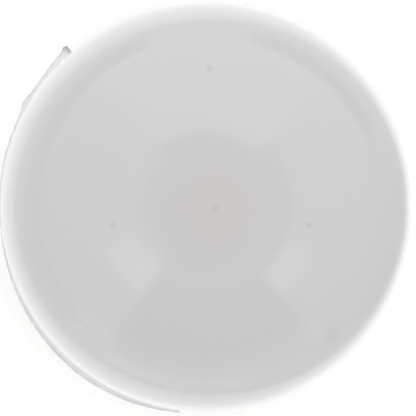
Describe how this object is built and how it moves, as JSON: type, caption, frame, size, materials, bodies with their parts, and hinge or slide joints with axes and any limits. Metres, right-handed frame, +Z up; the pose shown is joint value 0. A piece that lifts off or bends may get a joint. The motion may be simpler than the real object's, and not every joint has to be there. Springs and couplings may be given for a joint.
{
  "type": "fence post cap",
  "caption": "Round domed cap for a tubular fence post: a clamping collar with concealed set screws under a push-on glossy dome.",
  "frame": {"origin": "on the post's axis, in the plane of the cap's lower edge", "axes": "+Z up along the post, towards the top of the dome; +Y through the first set screw"},
  "size_m": [0.077, 0.077, 0.0499],
  "materials": {
    "dome_plastic": "glossy moulded white",
    "collar_plastic": "fine matte texture",
    "seal_rubber": "soft closed-cell rubber",
    "ring_rubber": "smooth solid rubber",
    "insert_brass": "turned and knurled",
    "screw_steel": "plain stainless",
    "pad_nylon": "natural nylon"
  },
  "bodies": {
    "base": {"base_collar": "collar_plastic", "post_seal": "seal_rubber", "grip_ring": "ring_rubber", "screw_insert_1": "insert_brass", "screw_insert_2": "insert_brass", "screw_insert_3": "insert_brass"},
    "dome": {"dome_shell": "dome_plastic"},
    "pad_1": {"screw_pad_1": "pad_nylon"},
    "screw_1": {"set_screw_1": "screw_steel"},
    "pad_2": {"screw_pad_2": "pad_nylon"},
    "screw_2": {"set_screw_2": "screw_steel"},
    "pad_3": {"screw_pad_3": "pad_nylon"},
    "screw_3": {"set_screw_3": "screw_steel"}
  },
  "joints": [
    {"name": "dome_lift", "type": "slide", "parent": "base", "child": "dome", "axis": [0, 0, 1], "range_m": [0, 0.045]},
    {"name": "pad_1_push", "type": "slide", "parent": "base", "child": "pad_1", "axis": [0, -1, 0], "range_m": [0, 0.002]},
    {"name": "screw_1_turn", "type": "hinge", "parent": "pad_1", "child": "screw_1", "pos_m": [0, 0.0355, 0.0105], "axis": [0, -1, 0], "range_deg": [0, 900]},
    {"name": "pad_2_push", "type": "slide", "parent": "base", "child": "pad_2", "axis": [0.866, 0.5, 0], "range_m": [0, 0.002]},
    {"name": "screw_2_turn", "type": "hinge", "parent": "pad_2", "child": "screw_2", "pos_m": [-0.03074, -0.01775, 0.0105], "axis": [0.866, 0.5, 0], "range_deg": [0, 900]},
    {"name": "pad_3_push", "type": "slide", "parent": "base", "child": "pad_3", "axis": [-0.866, 0.5, 0], "range_m": [0, 0.002]},
    {"name": "screw_3_turn", "type": "hinge", "parent": "pad_3", "child": "screw_3", "pos_m": [0.03074, -0.01775, 0.0105], "axis": [-0.866, 0.5, 0], "range_deg": [0, 900]}
  ],
  "couplings": [
    {"joint": "screw_1_turn", "follows": "pad_1_push", "rad_per_m": 7854},
    {"joint": "screw_2_turn", "follows": "pad_2_push", "rad_per_m": 7854},
    {"joint": "screw_3_turn", "follows": "pad_3_push", "rad_per_m": 7854}
  ]
}
